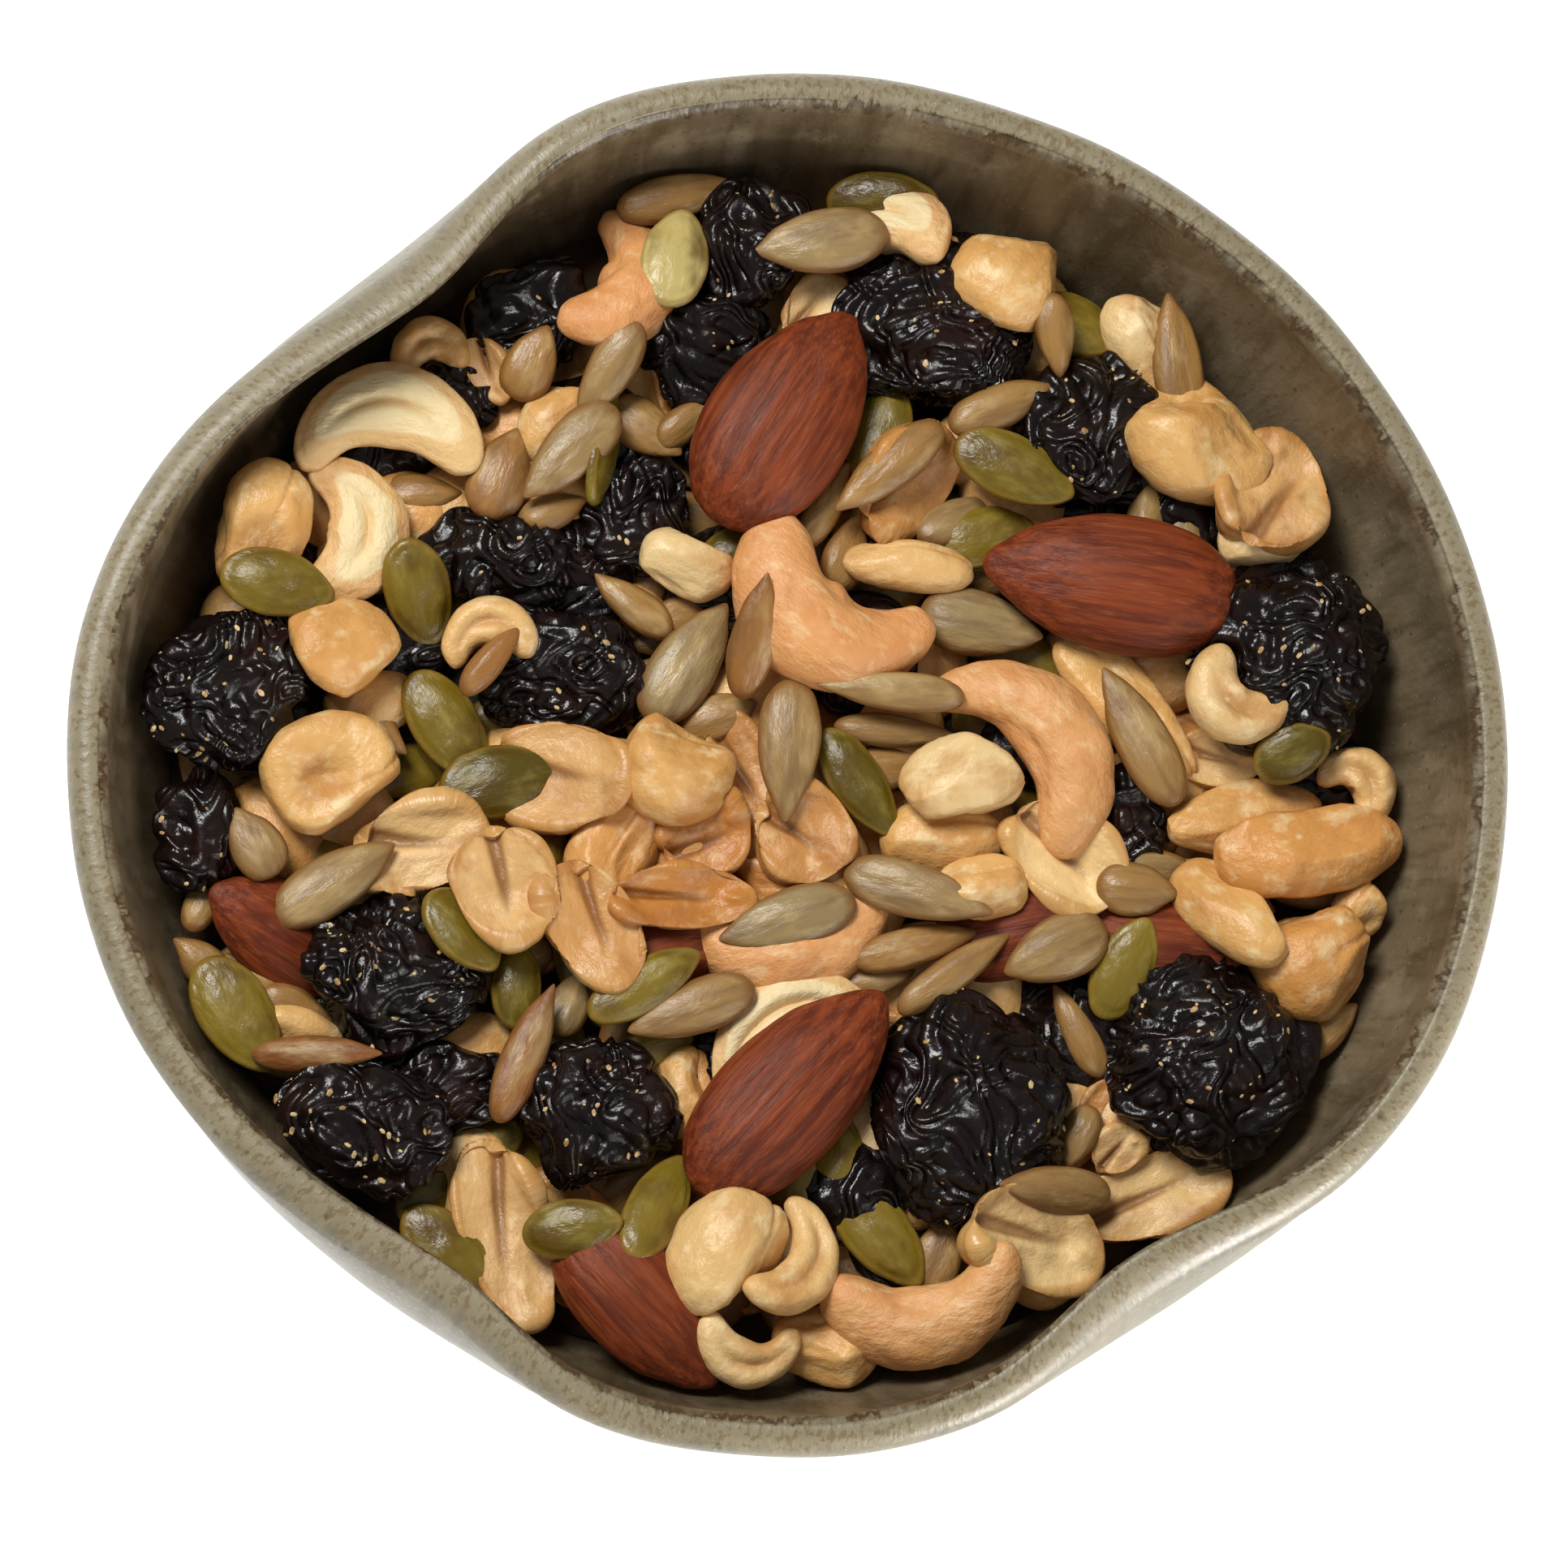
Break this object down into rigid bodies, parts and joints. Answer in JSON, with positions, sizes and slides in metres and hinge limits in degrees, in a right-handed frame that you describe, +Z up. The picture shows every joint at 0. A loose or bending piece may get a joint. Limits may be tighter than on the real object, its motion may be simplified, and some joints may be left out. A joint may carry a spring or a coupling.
{
  "type": "bowl of trail mix",
  "caption": "Hand-pressed stoneware bowl filled with a loose heap of nuts, raisins and seeds, open above the contents and resting on a flat foot ring.",
  "frame": {"origin": "on the plane the foot ring stands on, under the middle of the bowl's outline seen from above", "axes": "+Z up out of the bowl, +X towards the right and +Y towards the top of the picture"},
  "size_m": [0.1366, 0.132, 0.052],
  "materials": {
    "stoneware": "satin glaze",
    "nuts_and_fruit": "roasted and slightly oily"
  },
  "bodies": {
    "root": {"bowl": "stoneware", "trail_mix": "nuts_and_fruit"}
  },
  "joints": []
}
